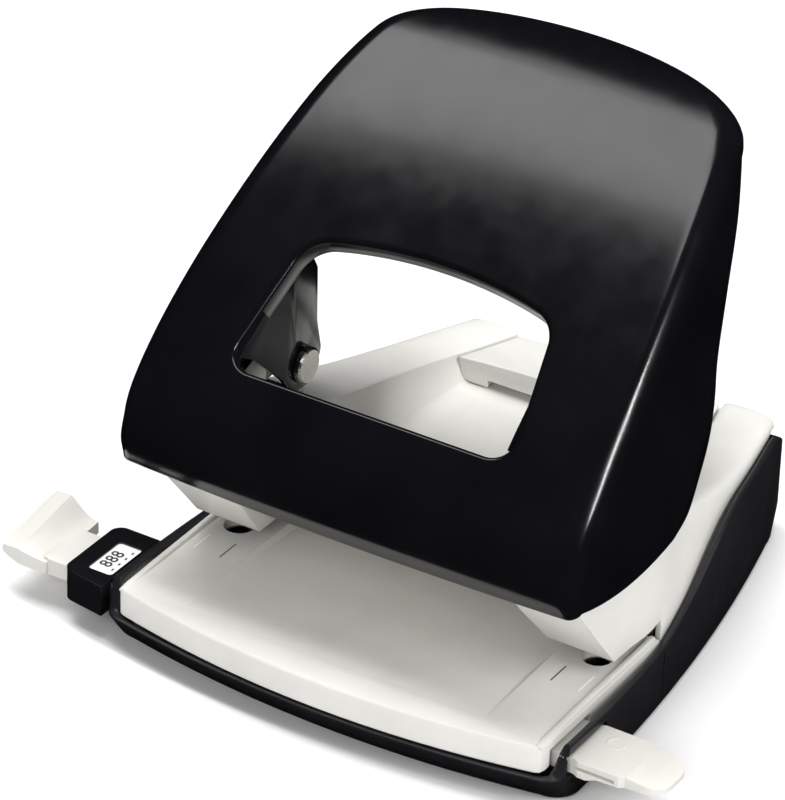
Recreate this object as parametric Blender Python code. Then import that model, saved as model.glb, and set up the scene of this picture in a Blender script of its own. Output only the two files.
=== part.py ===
"""Two-hole desk punch, modelled as separate pieces in metres.

Frame: X to the right, Y to the back, Z up. The origin lies on the desk, midway
between the two punch axes. Lengths below are millimetres and become metres when
a mesh is made.
"""
import math

import bmesh
import bpy
from mathutils import Matrix, Vector

MM = 0.001
GAP = 0.3

# Paper side
PUNCH_X = 40.0
PUNCH_R = 2.75
STOP_Y = 12.0
PLATE_Z = 13.0
PLATE_HALF = 46.6
SLOT_TOP = 17.2

# Base outline
BASE_HALF = 50.4
BASE_TAPER = 13.0
BASE_FRONT = 37.0
BASE_FRONT_BULGE = 6.0
BASE_BACK = 79.0
BASE_WALL = 1.6
SKIRT_Z = 0.0
RAIL_Y = -21.0

# Lever
FULCRUM = (-16.0, 44.0)
DRIVE = (4.0, 51.0)
PIN_R = 2.0
SHEET = 1.4
EDGE_R = 5.0
EAR_X = 29.4
CHEEK_IN = 35.8
CHEEK_OUT = 44.2
CHEEK_T = 1.0
RUN = 0.08

# Chip tray hinge
TRAY_AXIS = (69.5, 4.4)

FINISHES = {
    "black_plastic": ((0.012, 0.012, 0.014), 0.38, 0.0),
    "grey_plastic": ((0.76, 0.75, 0.71), 0.42, 0.0),
    "black_gloss": ((0.004, 0.004, 0.005), 0.08, 0.0),
    "steel": ((0.46, 0.45, 0.43), 0.30, 1.0),
    "spring_steel": ((0.36, 0.36, 0.37), 0.28, 1.0),
    "rubber": ((0.02, 0.02, 0.02), 0.85, 0.0),
    "label": ((0.86, 0.86, 0.84), 0.50, 0.0),
}


def clear_scene():
    for item in list(bpy.data.objects):
        bpy.data.objects.remove(item, do_unlink=True)


def finish_material(name, finish):
    colour, roughness, metallic = FINISHES[finish]
    material = bpy.data.materials.new(name + "_" + finish)
    material.use_nodes = True
    shader = material.node_tree.nodes["Principled BSDF"]
    shader.inputs["Base Color"].default_value = (*colour, 1.0)
    shader.inputs["Roughness"].default_value = roughness
    shader.inputs["Metallic"].default_value = metallic
    return material


def object_from(name, points, faces, finish):
    """One closed body from millimetre points, normals turned outward."""
    mesh = bpy.data.meshes.new(name)
    mesh.from_pydata([Vector(p) * MM for p in points], [], faces)
    work = bmesh.new()
    work.from_mesh(mesh)
    bmesh.ops.remove_doubles(work, verts=work.verts, dist=1e-6)
    bmesh.ops.recalc_face_normals(work, faces=work.faces)
    work.to_mesh(mesh)
    work.free()
    item = bpy.data.objects.new(name, mesh)
    bpy.context.collection.objects.link(item)
    if finish:
        mesh.materials.append(finish_material(name, finish))
    return item


def loft(name, rings, finish=None, wrap=False):
    """Skin over rings of equal point count, capped at both ends unless it wraps."""
    count = len(rings[0])
    points = [p for ring in rings for p in ring]
    faces = []
    last = len(rings) if wrap else len(rings) - 1
    for r in range(last):
        a = r * count
        b = ((r + 1) % len(rings)) * count
        for k in range(count):
            n = (k + 1) % count
            faces.append((a + k, a + n, b + n, b + k))
    if not wrap:
        faces.append(tuple(range(count)))
        top = (len(rings) - 1) * count
        faces.append(tuple(top + k for k in reversed(range(count))))
    return object_from(name, points, faces, finish)


def prism(name, outline, axis, low, high, finish=None):
    """Extrude a two-dimensional outline along one axis."""
    def place(p, h):
        if axis == "X":
            return (h, p[0], p[1])
        if axis == "Y":
            return (p[0], h, p[1])
        return (p[0], p[1], h)
    return loft(name, [[place(p, low) for p in outline], [place(p, high) for p in outline]], finish)


def box(name, low, high, finish=None):
    outline = [(low[0], low[1]), (high[0], low[1]), (high[0], high[1]), (low[0], high[1])]
    return prism(name, outline, "Z", low[2], high[2], finish)


def rounded(corners, radii, steps=4):
    """Polygon with each corner rounded by its own radius."""
    result = []
    count = len(corners)
    for k in range(count):
        here = Vector(corners[k])
        before = (Vector(corners[k - 1]) - here).normalized()
        after = (Vector(corners[(k + 1) % count]) - here).normalized()
        radius = radii[k] if isinstance(radii, (list, tuple)) else radii
        if radius <= 0:
            result.append(tuple(here))
            continue
        half = before.angle(after) / 2
        reach = radius / math.tan(half)
        centre = here + (before + after).normalized() * (radius / math.sin(half))
        start = here + before * reach - centre
        end = here + after * reach - centre
        for j in range(steps + 1):
            blend = start.lerp(end, j / steps)
            result.append(tuple(centre + blend.normalized() * radius))
    return result


def circle(centre, radius, steps=20):
    return [(centre[0] + radius * math.cos(2 * math.pi * k / steps),
             centre[1] + radius * math.sin(2 * math.pi * k / steps)) for k in range(steps)]


def rod(name, axis, centre, low, high, radius, finish=None, steps=20):
    return prism(name, circle(centre, radius, steps), axis, low, high, finish)


def turned(name, axis, centre, profile, finish=None, steps=20):
    """Round piece from (position along the axis, radius) pairs."""
    rings = []
    for along, radius in profile:
        ring = circle(centre, radius, steps)
        if axis == "X":
            rings.append([(along, p[0], p[1]) for p in ring])
        else:
            rings.append([(p[0], p[1], along) for p in ring])
    return loft(name, rings, finish)


def bake(item):
    """Replace an object's mesh by what its modifiers give."""
    graph = bpy.context.evaluated_depsgraph_get()
    fresh = bpy.data.meshes.new_from_object(item.evaluated_get(graph))
    item.modifiers.clear()
    item.data = fresh


def combine(target, tools, operation):
    for tool in tools:
        step = target.modifiers.new("step", "BOOLEAN")
        step.operation = operation
        step.solver = "EXACT"
        step.object = tool
        bake(target)
        bpy.data.objects.remove(tool, do_unlink=True)
    return target


def carve(target, *tools):
    return combine(target, tools, "DIFFERENCE")


def fuse(target, *tools):
    return combine(target, tools, "UNION")


def soften(item, width, segments=2, angle=40.0):
    """Small bevel on the sharp edges."""
    step = item.modifiers.new("edges", "BEVEL")
    step.width = width * MM
    step.segments = segments
    step.limit_method = "ANGLE"
    step.angle_limit = math.radians(angle)
    step.harden_normals = False
    bake(item)
    return item


def smooth(item, angle=35.0):
    item.data.shade_smooth()
    item.data.set_sharp_from_angle(angle=math.radians(angle))
    return item


def catmull(points, t):
    """Smooth curve through control points, t from 0 to 1."""
    last = len(points) - 1
    x = min(max(t, 0.0), 1.0) * last
    k = min(int(x), last - 1)
    f = x - k
    p1, p2 = Vector(points[k]), Vector(points[k + 1])
    p0 = Vector(points[k - 1]) if k > 0 else p1 * 2 - p2
    p3 = Vector(points[k + 2]) if k + 2 <= last else p2 * 2 - p1
    return (p1 * 2 + (p2 - p0) * f + (p0 * 2 - p1 * 5 + p2 * 4 - p3) * f * f
            + (p1 * 3 - p0 - p2 * 3 + p3) * f ** 3) * 0.5


def side_half(y):
    """Half width of the base at depth y: straight in front, drawn in to the back."""
    return BASE_HALF - BASE_TAPER * (max(0.0, y + 25.0) / 100.0) ** 2


def base_outline(inset=0.0, front_in=0.0, back_in=0.0, side_steps=8):
    """Plan of the base, right half from front to back and then mirrored."""
    front = -BASE_FRONT + front_in + inset
    corner_y = front + BASE_FRONT_BULGE
    back = BASE_BACK - back_in - inset
    right = []
    for k in range(5):
        x = (BASE_HALF - 5.0 - inset) * k / 4
        drop = (x / (BASE_HALF - 5.0)) ** 2
        right.append((x, front + BASE_FRONT_BULGE * 0.75 * drop))
    start_y = corner_y + 3.5
    for k in range(1, 4):
        a = math.radians(90 * k / 4)
        start = right[4]
        right.append((start[0] + (BASE_HALF - inset - start[0]) * math.sin(a),
                      start[1] + (start_y - start[1]) * (1 - math.cos(a))))
    end_y = back - 4.0
    for k in range(side_steps + 1):
        y = start_y + (end_y - start_y) * k / side_steps
        right.append((side_half(y) - inset, y))
    x_end = right[-1][0]
    for k in range(1, 5):
        a = math.radians(90 * k / 4)
        right.append((x_end - 4.0 * (1 - math.cos(a)), end_y + 4.0 * math.sin(a)))
    right.append((x_end * 0.45, back + 0.6))
    left = [(-x, y) for x, y in reversed(right) if x > 1e-6]
    return right + left


def rim_height(y):
    """Top of the black shell: under the plate lip, along the plate, then sweeping up."""
    if y < -29.0:
        return 6.6
    if y < -26.0:
        return 6.6 + (12.3 - 6.6) * (y + 29.0) / 3.0
    if y < 6.0:
        return 12.3
    if y < 50.0:
        t = (y - 6.0) / 44.0
        return 12.3 + 12.2 * t * t * (3 - 2 * t)
    return 24.5 - (y - 50.0) / 20.0 - 4.0 * (max(0.0, y - 70.0) / 9.0) ** 2


def make_base_shell():
    low = base_outline(front_in=4.5, back_in=5.0)
    full = base_outline()
    inner = base_outline(inset=BASE_WALL)
    inner_low = base_outline(inset=BASE_WALL, front_in=4.5, back_in=5.0)

    def at(ring, height):
        return [(p[0], p[1], height(p[1]) if callable(height) else height) for p in ring]
    rings = [at(low, SKIRT_Z), at(full, 6.0), at(full, rim_height),
             at(inner, rim_height), at(inner, 6.0), at(inner_low, SKIRT_Z)]
    shell = loft("base_shell", rings, "black_plastic", wrap=True)
    tunnel = box("cut", (-60, RAIL_Y - 7.2, 5.4), (60, RAIL_Y + 7.2, 10.7))
    carve(shell, tunnel)
    for side in (-1, 1):
        low_x, high_x = sorted((side * 29.0, side * 32.0))
        boss = prism("boss", [(66.3, 1.6), (74.0, 1.6), (78.2, 6.6), (78.2, 7.4), (66.3, 7.4)],
                     "X", low_x, high_x)
        carve(boss, rod("hole", "X", TRAY_AXIS, low_x - 1, high_x + 1, 1.38))
        fuse(shell, boss)
    return smooth(shell)


def plate_outline(inset=0.0):
    right = []
    for k in range(7):
        x = (PLATE_HALF - 1.2 - inset) * k / 6
        right.append((x, -BASE_FRONT + 0.4 + inset + 5.4 * (x / PLATE_HALF) ** 2))
    right.append((PLATE_HALF - inset, right[-1][1] + 1.6))
    right.append((PLATE_HALF - inset, STOP_Y - GAP - inset))
    left = [(-x, y) for x, y in reversed(right) if x > 1e-6]
    return right + left


def make_platform_plate():
    outer = plate_outline()
    inner = plate_outline(1.8)
    rear = box("cut", (1.8 - PLATE_HALF, 0, 5.0), (PLATE_HALF - 1.8, STOP_Y + 2, 11.2))
    rings = [[(p[0], p[1], z) for p in ring] for ring, z in
             ((outer, 7.0), (outer, PLATE_Z - 0.5), (plate_outline(0.5), PLATE_Z))]
    plate = loft("platform_plate", rings, "grey_plastic")
    hollow = prism("cut", [(p[0], p[1]) for p in inner], "Z", 5.0, 11.2)
    dish = prism("cut", [(-28.6, 13.02), (STOP_Y + 5, 11.6), (STOP_Y + 5, 15), (-28.6, 15)],
                 "X", -33.0, 33.0)
    rail = box("cut", (-60, RAIL_Y - 7.3, 4.0), (60, RAIL_Y + 7.3, 10.9))
    carve(plate, hollow, rear, dish, rail)
    for side in (-1, 1):
        carve(plate, rod("hole", "Z", (side * PUNCH_X, 0), 5, 20, 3.05))
        low_x, high_x = sorted((side * (PLATE_HALF - 1.5), side * (PLATE_HALF - 0.3)))
        bead = prism("bead", [(-30.5, 12.5), (STOP_Y - 1.2, 12.5), (STOP_Y - 1.2, 14.4),
                              (STOP_Y - 4.5, 14.3), (-29.5, 13.35)], "X", low_x, high_x)
        fuse(plate, bead)
    return smooth(plate)


# Housing: stations from front to back. Half width and height of the outer crease,
# then half width and height of the arm's inner edge.
ARM_STATIONS = [
    (-30.0, 47.2, 41.5, 31.4, 41.5),
    (-10.0, 47.0, 41.0, 31.4, 40.6),
    (10.0, 46.7, 38.0, 31.2, 37.6),
    (25.0, 44.2, 34.5, 30.2, 34.2),
    (38.0, 42.7, 31.2, 29.2, 31.6),
    (51.0, 41.0, 28.4, 28.1, 28.9),
    (65.0, 38.3, 26.3, 26.3, 25.9),
    (76.6, 35.1, 24.7, 23.4, 24.6),
]


def arm_section(t):
    y, crease_x, crease_z, inner_x, inner_z = catmull(ARM_STATIONS, t)
    return y, crease_x, crease_z, inner_x, inner_z


def arm_foot(y):
    straight = 46.4 + 0.1 * max(0.0, y)
    return min(side_half(y) - BASE_WALL - GAP - 0.15, straight) - 0.4 * max(0.0, y - 72.0)


def housing_ring(t):
    """Whole cross-section: outer walls, arm tops and the trough between them."""
    y, crease_x, crease_z, inner_x, inner_z = arm_section(t)
    foot_x = arm_foot(y)
    crease_x = min(crease_x, side_half(y) - BASE_WALL - GAP - 0.1)
    floor_z = 21.5
    right = [(inner_x - 1.2, floor_z), (inner_x - 0.2, inner_z - 0.9), (inner_x + 0.6, inner_z),
             (crease_x - 3.2, crease_z + 0.35), (crease_x - 1.3, crease_z - 0.1),
             (crease_x, crease_z - 1.6), (foot_x, 16.0), (foot_x, 9.0)]
    left = [(-x, z) for x, z in reversed(right)]
    return [(x, y, z) for x, z in left + right]


def arm_at(y):
    """Arm section at a given depth."""
    low, high = 0.0, 1.0
    for _ in range(30):
        middle = (low + high) / 2
        if catmull(ARM_STATIONS, middle)[0] < y:
            low = middle
        else:
            high = middle
    return catmull(ARM_STATIONS, low)


def arm_cavity_ring(y, side, wall=1.8):
    _, crease_x, crease_z, inner_x, inner_z = arm_at(y)
    foot_x = arm_foot(y)
    points = [(inner_x + 2.2, 5.0), (inner_x + 2.5, inner_z - wall), (crease_x - 3.0, crease_z - wall),
              (crease_x - 1.1, crease_z - 3.6), (foot_x - 1.1, 16.0), (foot_x - 1.0, 5.0)]
    return [(side * x, y, z) for x, z in points]


def arm_cavity(side):
    rings = [[(x, -4.1 - (z - SLOT_TOP) * 0.79, z) for x, _, z in arm_cavity_ring(-12.0, side)]]
    for k in range(1, 13):
        rings.append(arm_cavity_ring(0.6 + 6.0 * k, side))
    return loft("cut", rings)


def make_housing():
    steps = 22
    rings = [housing_ring(k / steps) for k in range(steps + 1)]
    body = loft("housing", rings, "grey_plastic")
    hood = prism("hood", [(STOP_Y + 3, 17.9), (-22.6, 37.2), (-24.0, 38.7), (-19.5, 38.7), (8.0, 21.9),
                          (STOP_Y + 3, 21.2)], "X", -31.2, 31.2)
    fuse(body, hood)
    front_slope = prism("cut", [(-40, 58), (-22.6, 38.6), (-5.2, SLOT_TOP), (-5.2, 0), (-40, 0)], "X", -60, 60)
    top_front = prism("cut", [(-60, 39.0), (-23.5, 39.0), (-10, 39.6), (-10, 60), (-60, 60)], "X", -60, 60)
    slot = box("cut", (-60, -60, 0), (60, STOP_Y, SLOT_TOP))
    carve(body, front_slope, top_front, slot)
    mouth = prism("cut", [(-60, 10), (11.5, 10), (11.5, 17.0), (-20.5, 36.3), (-60, 36.3)], "X", -34, 34)
    arch = [(-31.9, 5), (31.9, 5), (31.9, 17.5), (29.4, 36.35), (-29.4, 36.35), (-31.9, 17.5)]
    combine(mouth, [prism("arch", rounded(arch, [0, 0, 0, 10.5, 10.5, 0], 4), "Y", -70, 20)], "INTERSECT")
    under = box("cut", (-28.3, STOP_Y + 2.0, 0), (28.3, 75.0, 19.6))
    carve(body, mouth, under)
    for side in (-1, 1):
        for y in (26.0, 60.0):
            fuse(body, rod("boss", "Z", (side * 24.0, y), 9.2, 20.5, 3.0, steps=16))
            carve(body, rod("hole", "Z", (side * 24.0, y), 8.0, 19.0, 1.6, steps=12))
    for side in (-1, 1):
        low_x, high_x = sorted((side * 33.4, side * 45.5))
        well = prism("cut", [(-20.9, 38.0), (-20.9, 60), (14.2, 60), (14.2, 30), (-11.8, 30)],
                     "X", low_x, high_x)
        carve(body, well, arm_cavity(side))
    return smooth(body, 30)


def make_center_deck():
    """Raised deck that closes the trough at the back, between the arm seams."""
    rings = []
    for k in range(7):
        t = 0.79 + 0.2 * k / 6
        y, _, _, inner_x, inner_z = arm_section(t)
        half = inner_x - 0.2 - GAP
        crown = 1.2
        top = [(half * (1 - 2 * j / 8), inner_z - 0.3 + crown * (1 - (1 - 2 * j / 8) ** 2))
               for j in range(9)]
        rings.append([(half - 0.8, y, 21.5 + GAP)] + [(x, y, z) for x, z in top]
                     + [(-half + 0.8, y, 21.5 + GAP)])
    deck = loft("center_deck", rings, "grey_plastic")
    hollow = box("cut", (-20, 40, 15), (20, 73.5, 23.4))
    carve(deck, hollow)
    return smooth(soften(deck, 0.8), 30)


def make_chassis():
    right = [(44.4, -10.5), (44.4, 18.0), (43.2, 36.0), (38.6, 58.0), (34.0, 65.0)]
    outline = right + [(-x, y) for x, y in reversed(right)]
    plate = prism("chassis_plate", outline, "Z", 6.9, 8.5, "steel")
    holes = [rod("hole", "Z", (s * PUNCH_X, 0), 5, 12, 3.6, steps=16) for s in (-1, 1)]
    for s in (-1, 1):
        holes += [rod("hole", "Z", (s * x, 16.5), 5, 12, 1.7, steps=12) for x in (37.0, 42.4)]
        holes += [rod("hole", "Z", (s * 24.0, y), 5, 12, 3.3, steps=12) for y in (26.0, 60.0)]
    carve(plate, *holes)
    return plate


def make_tower(side, word):
    """Die, bracket, screws, punch, crosshead, washer and spring of one tower."""
    x = side * PUNCH_X
    die = turned("die_" + word, "Z", (x, 0), [(8.8, 4.4), (10.6, 4.4), (10.9, 4.1)], "steel")
    carve(die, turned("bore", "Z", (x, 0), [(5, 3.4), (9.9, 3.4), (9.9, 2.85), (15, 2.85)]))
    smooth(die)

    rear_y = FULCRUM[0] - 4.1
    cheek = rounded([(-3.7, 17.6), (13.8, 17.6), (13.8, 40.0), (12.0, 54.0), (8.4, 54.0), (8.4, 38.8),
                     (0.6, 38.8), (0.6, 54.0), (-2.8, 54.0), (rear_y, 48.4), (rear_y, 40.0)],
                    [0.5, 0, 1, 1, 1, 2.5, 2.5, 1, 3, 4, 4])
    low_a, high_a = sorted((side * (CHEEK_IN - CHEEK_T), side * CHEEK_IN))
    low_b, high_b = sorted((side * CHEEK_OUT, side * (CHEEK_OUT + CHEEK_T)))
    low_x, high_x = sorted((side * (CHEEK_IN - CHEEK_T), side * (CHEEK_OUT + CHEEK_T)))
    bracket = prism("bracket_" + word, cheek, "X", low_a, high_a, "steel")
    fuse(bracket, prism("cheek", cheek, "X", low_b, high_b),
         box("shelf", (low_x + 0.2, -3.5, 17.65), (high_x - 0.2, 13.6, 18.9)),
         box("web", (low_x + 0.3, 12.6, 17.9), (high_x - 0.3, 13.7, 38.2)))
    carve(bracket, rod("hole", "Z", (x, 0), 15, 20, PUNCH_R + RUN),
          rod("hole", "X", FULCRUM, -50, 50, PIN_R + RUN))
    smooth(bracket)
    foot = prism("bracket_foot_" + word, [(12.4, 8.8), (19.4, 8.8), (19.4, 10.2), (13.8, 10.2), (13.8, 17.3),
                                          (12.4, 17.3)], "X", low_x + 0.5, high_x - 0.5, "steel")
    carve(foot, *[rod("hole", "Z", (side * sx, 16.5), 7, 12, 1.7, steps=12) for sx in (37.0, 42.4)])
    smooth(foot)

    for tag, sx in (("inner", 37.0), ("outer", 42.4)):
        screw = turned("bracket_screw_" + tag + "_" + word, "Z", (side * sx, 16.5),
                       [(5.9, 1.4), (10.5, 1.4), (10.5, 2.3), (11.6, 2.2), (12.1, 1.5)], "steel", 12)
        carve(screw, box("slot", (side * sx - 3, 16.2, 11.5), (side * sx + 3, 16.8, 13)))
        smooth(screw)

    punch = turned("punch_pin_" + word, "Z", (x, 0),
                   [(18.3, PUNCH_R), (44.9, PUNCH_R), (45.3, PUNCH_R - 0.4)], "steel")
    carve(punch, prism("grind", [(x - 3.2, 18.0), (x, 19.5), (x + 3.2, 18.0)], "Y", -4, 4))
    smooth(punch)

    head = prism("crosshead_" + word,
                 rounded([(-4.6, 45.6), (9.7, 45.6), (9.7, 56.0), (-4.6, 56.0)], 1.2, 3),
                 "X", x - 3.8, x + 3.8, "steel")
    window = prism("slot", rounded([(1.7, 48.7), (7.5, 48.7), (7.5, 53.3), (1.7, 53.3)], 2.2, 4),
                   "X", x - 6, x + 6)
    carve(head, window)
    smooth(head)

    washer = turned("spring_washer_" + word, "Z", (x, 0),
                    [(43.2, 4.0), (44.2, 4.0)], "steel")
    carve(washer, rod("hole", "Z", (x, 0), 40, 50, PUNCH_R + GAP))
    smooth(washer)
    make_spring("return_spring_" + word, x, 19.2, 42.8)


def make_spring(name, x, bottom, top, turns=7, radius=3.5, wire=0.38, per_turn=13, sides=5):
    """Coil of wire between two heights, one closed tube."""
    rings = []
    low, high = bottom + wire, top - wire
    count = turns * per_turn
    rise = (high - low) / (2 * math.pi * turns)
    for k in range(count + 1):
        a = 2 * math.pi * k / per_turn
        centre = Vector((x + radius * math.cos(a), radius * math.sin(a), low + (high - low) * k / count))
        along = Vector((-radius * math.sin(a), radius * math.cos(a), rise)).normalized()
        outward = Vector((math.cos(a), math.sin(a), 0))
        up = along.cross(outward)
        rings.append([tuple(centre + outward * (wire * math.cos(2 * math.pi * j / sides))
                            + up * (wire * math.sin(2 * math.pi * j / sides))) for j in range(sides)])
    return smooth(loft(name, rings, "spring_steel"), 60)


# Lever: shoulder line (depth, height) from the lower front edge up to the top, the
# point of the side wall's free edge that lies behind it, and the half width.
LEVER_STATIONS = [
    (-25.4, 39.2, 9.0, 37.6, 49.6),
    (-27.4, 45.0, 14.0, 40.6, 49.6),
    (-25.0, 53.0, 17.6, 46.8, 49.6),
    (-17.0, 62.0, 21.0, 53.6, 49.4),
    (-6.0, 71.2, 23.2, 60.5, 48.8),
    (6.2, 80.4, 25.8, 67.6, 47.5),
    (18.7, 89.2, 31.2, 77.8, 45.7),
    (31.2, 97.2, 38.2, 89.6, 43.3),
    (43.0, 103.4, 44.6, 98.8, 40.0),
    (50.5, 106.4, 51.5, 102.8, 36.0),
    (59.8, 107.5, 60.0, 104.0, 36.0),
]
FLANGE = 3.6
CORNER_T = 0.8
CORNER_BACK = 2.45
CORNER_DEEP = 18.9


def lever_frame(t):
    """Side-wall line, free edge, outward normal and half width at station t."""
    here = catmull(LEVER_STATIONS, t)
    ahead = catmull(LEVER_STATIONS, min(1.0, t + 0.01))
    behind = catmull(LEVER_STATIONS, max(0.0, t - 0.01))
    along = Vector((ahead[0] - behind[0], ahead[1] - behind[1])).normalized()
    normal = Vector((-along[1], along[0]))
    shoulder = Vector((here[0], here[1]))
    wall = shoulder - normal * (0.7 * EDGE_R)
    return wall, Vector((here[2], here[3])), normal, here[4]


def measure_line(steps=200):
    """Distance run along the face line at evenly spaced stations."""
    runs = [0.0]
    before = None
    for k in range(steps + 1):
        wall, _, normal, _ = lever_frame(k / steps)
        here = wall + normal * EDGE_R
        if before:
            runs.append(runs[-1] + (here - before).length)
        before = here
    return runs


LINE = measure_line()


def distance_at(t):
    place = min(max(t, 0.0), 1.0) * (len(LINE) - 1)
    k = min(int(place), len(LINE) - 2)
    return LINE[k] + (LINE[k + 1] - LINE[k]) * (place - k)


def station_at(distance):
    last = len(LINE) - 1
    for k in range(last):
        if distance <= LINE[k + 1] or k == last - 1:
            return (k + (distance - LINE[k]) / (LINE[k + 1] - LINE[k])) / last


def crown(t):
    return 0.5 + 0.9 * math.sin(math.pi * min(1.0, 0.15 + 0.8 * t))


def lever_point(t, x):
    """Point of the lever's outer face at station t and offset x, with its normal."""
    wall, _, normal, half = lever_frame(t)
    lift = EDGE_R + crown(t) * (1 - min(1.0, abs(x) / (half - EDGE_R)) ** 2)
    return Vector((x, wall[0] + normal[0] * lift, wall[1] + normal[1] * lift)), Vector((0, normal[0], normal[1]))


def lever_place(x, distance, lift):
    wall, _, normal, _ = lever_frame(station_at(distance))
    return (x, wall[0] + normal[0] * lift, wall[1] + normal[1] * lift)


def lever_plan(side_rows, corner_rows):
    """Right half of the outline as (x, distance, share of the top corner)."""
    marks = []
    for k in range(side_rows):
        t = CORNER_T * k / side_rows
        marks.append((lever_frame(t)[3], distance_at(t), 0.0))
    start = math.asin(CORNER_BACK / CORNER_DEEP)
    wide = lever_frame(CORNER_T)[3] / math.cos(start)
    for k in range(corner_rows + 1):
        a = start + (math.pi / 2 - start) * k / corner_rows
        marks.append((wide * max(0.0, math.cos(a)) if k < corner_rows else 0.0,
                      distance_at(CORNER_T) - CORNER_BACK + CORNER_DEEP * math.sin(a), k / corner_rows))
    return marks


def lever_row(mark, out, face_steps, arc_steps, wall_steps):
    """Points from the middle of the face, round the edge and along the wall."""
    x, distance, share = mark
    t = station_at(distance)
    edge = EDGE_R - 2.6 * max(0.0, 1 - t / 0.14)
    in_x, in_run = x - out[0] * edge, distance - out[1] * edge
    rise = crown(station_at(in_run)) * math.cos(math.pi / 2 * share)
    points = []
    for k in range(face_steps):
        u = k / face_steps
        points.append(lever_place(in_x * u, in_run, EDGE_R + rise * (1 - u * u)))
    for k in range(arc_steps + 1):
        a = math.radians(90 * k / arc_steps)
        reach = edge * math.sin(a)
        points.append(lever_place(in_x + out[0] * reach, in_run + out[1] * reach,
                                  EDGE_R - edge + edge * math.cos(a)))
    start = Vector(points[-1][1:])
    wall, rear, _, _ = lever_frame(min(t, CORNER_T))
    if share > 0:
        down = (rear - wall) * (1 - share) - lever_frame(t)[2] * (FLANGE * share)
        rear = start + down
    sag = 2.2 * max(0.0, 1 - t * 4.4)
    for k in range(1, wall_steps + 1):
        u = k / wall_steps
        place = start.lerp(rear, u)
        points.append((points[-1][0], place[0], place[1] - sag * 4 * u * (1 - u)))
    return points


def lever_sheet(name, finish, side_rows, corner_rows, face_steps, arc_steps, wall_steps):
    """Outer skin of the lever as one open sheet."""
    marks = lever_plan(side_rows, corner_rows)
    points, faces = [], []
    for k, mark in enumerate(marks):
        ahead, behind = marks[min(k + 1, len(marks) - 1)], marks[max(k - 1, 0)]
        out = Vector((ahead[1] - behind[1], behind[0] - ahead[0])).normalized()
        if k == len(marks) - 1:
            out = Vector((0.0, 1.0))
        row = lever_row(mark, out, face_steps, arc_steps, wall_steps)
        points += [(-q[0], q[1], q[2]) for q in reversed(row[1:])] + row
    width = len(points) // len(marks)
    for r in range(len(marks) - 1):
        for k in range(width - 1):
            a = r * width + k
            faces.append((a, a + 1, a + width + 1, a + width))
    shell = object_from(name, points, faces, finish)
    if sum(f.normal.z * f.area for f in shell.data.polygons) < 0:
        shell.data.flip_normals()
    return shell


WINDOW_LOW = 0.2835
WINDOW_HIGH = 0.495
STATION_MM = 142.2
ARCH = 3.2


def window_outline(grow=0.0, steps=4, arch_steps=6):
    """Window in (x, station): wide at the bottom, arched along the top."""
    top = WINDOW_HIGH * STATION_MM
    corners = [(30.6, WINDOW_LOW * STATION_MM), (26.4, top - ARCH)]
    for k in range(arch_steps + 1):
        x = 19.6 * (1 - 2 * k / arch_steps)
        corners.append((x, top - ARCH * (x / 26.4) ** 2))
    corners += [(-26.4, top - ARCH), (-30.6, WINDOW_LOW * STATION_MM)]
    ring = rounded(corners, [4.5, 6.5] + [0] * (arch_steps + 1) + [6.5, 4.5], steps)
    centre = Vector((0.0, (WINDOW_LOW + WINDOW_HIGH) / 2 * STATION_MM))
    result = []
    for k in range(len(ring)):
        before, after = Vector(ring[k - 1]), Vector(ring[(k + 1) % len(ring)])
        edge = (after - before).normalized()
        outward = Vector((edge[1], -edge[0]))
        if outward.dot(Vector(ring[k]) - centre) < 0:
            outward = -outward
        moved = Vector(ring[k]) + outward * grow
        result.append((moved[0], moved[1] / STATION_MM))
    return result


def window_ring(grow, depth):
    ring = []
    for x, t in window_outline(grow):
        point, normal = lever_point(t, x)
        ring.append(tuple(point - normal * depth))
    return ring


def make_handle_shell():
    shell = lever_sheet("handle_shell", "black_gloss", 18, 8, 4, 4, 2)
    step = shell.modifiers.new("sheet", "SOLIDIFY")
    step.thickness = SHEET * MM
    step.offset = -1.0
    step.use_even_offset = True
    bake(shell)
    carve(shell, loft("cut", [window_ring(0.0, -4.0), window_ring(0.0, 7.0)]))
    root = []
    for k in range(5):
        point, normal = lever_point(0.477 - 0.162 * k / 4, EAR_X)
        root.append(tuple((point - normal * 0.7)[1:]))
    lower = [(-12.0, 59.5), (-2.4, 50.3), (1.0, 45.8), (7.4, 45.8), (10.4, 51.5), (8.8, 58.3),
             (8.6, 70.0)]
    outline = rounded(lower + root, [1.5, 3, 3.5, 4, 3, 8, 1.5] + [0] * 5, 3)
    for side in (-1, 1):
        low_x, high_x = sorted((side * (EAR_X - 0.7), side * (EAR_X + 0.7)))
        ear = prism("ear", outline, "X", low_x, high_x)
        fuse(shell, ear)
    collar = loft("collar", [window_ring(0.0, 0.5), window_ring(1.3, 0.5),
                             window_ring(1.3, 4.6), window_ring(0.0, 4.6)], wrap=True)
    fuse(shell, collar)
    carve(shell, rod("hole", "X", DRIVE, -36, 36, PIN_R + RUN))
    return smooth(shell, 32)


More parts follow.
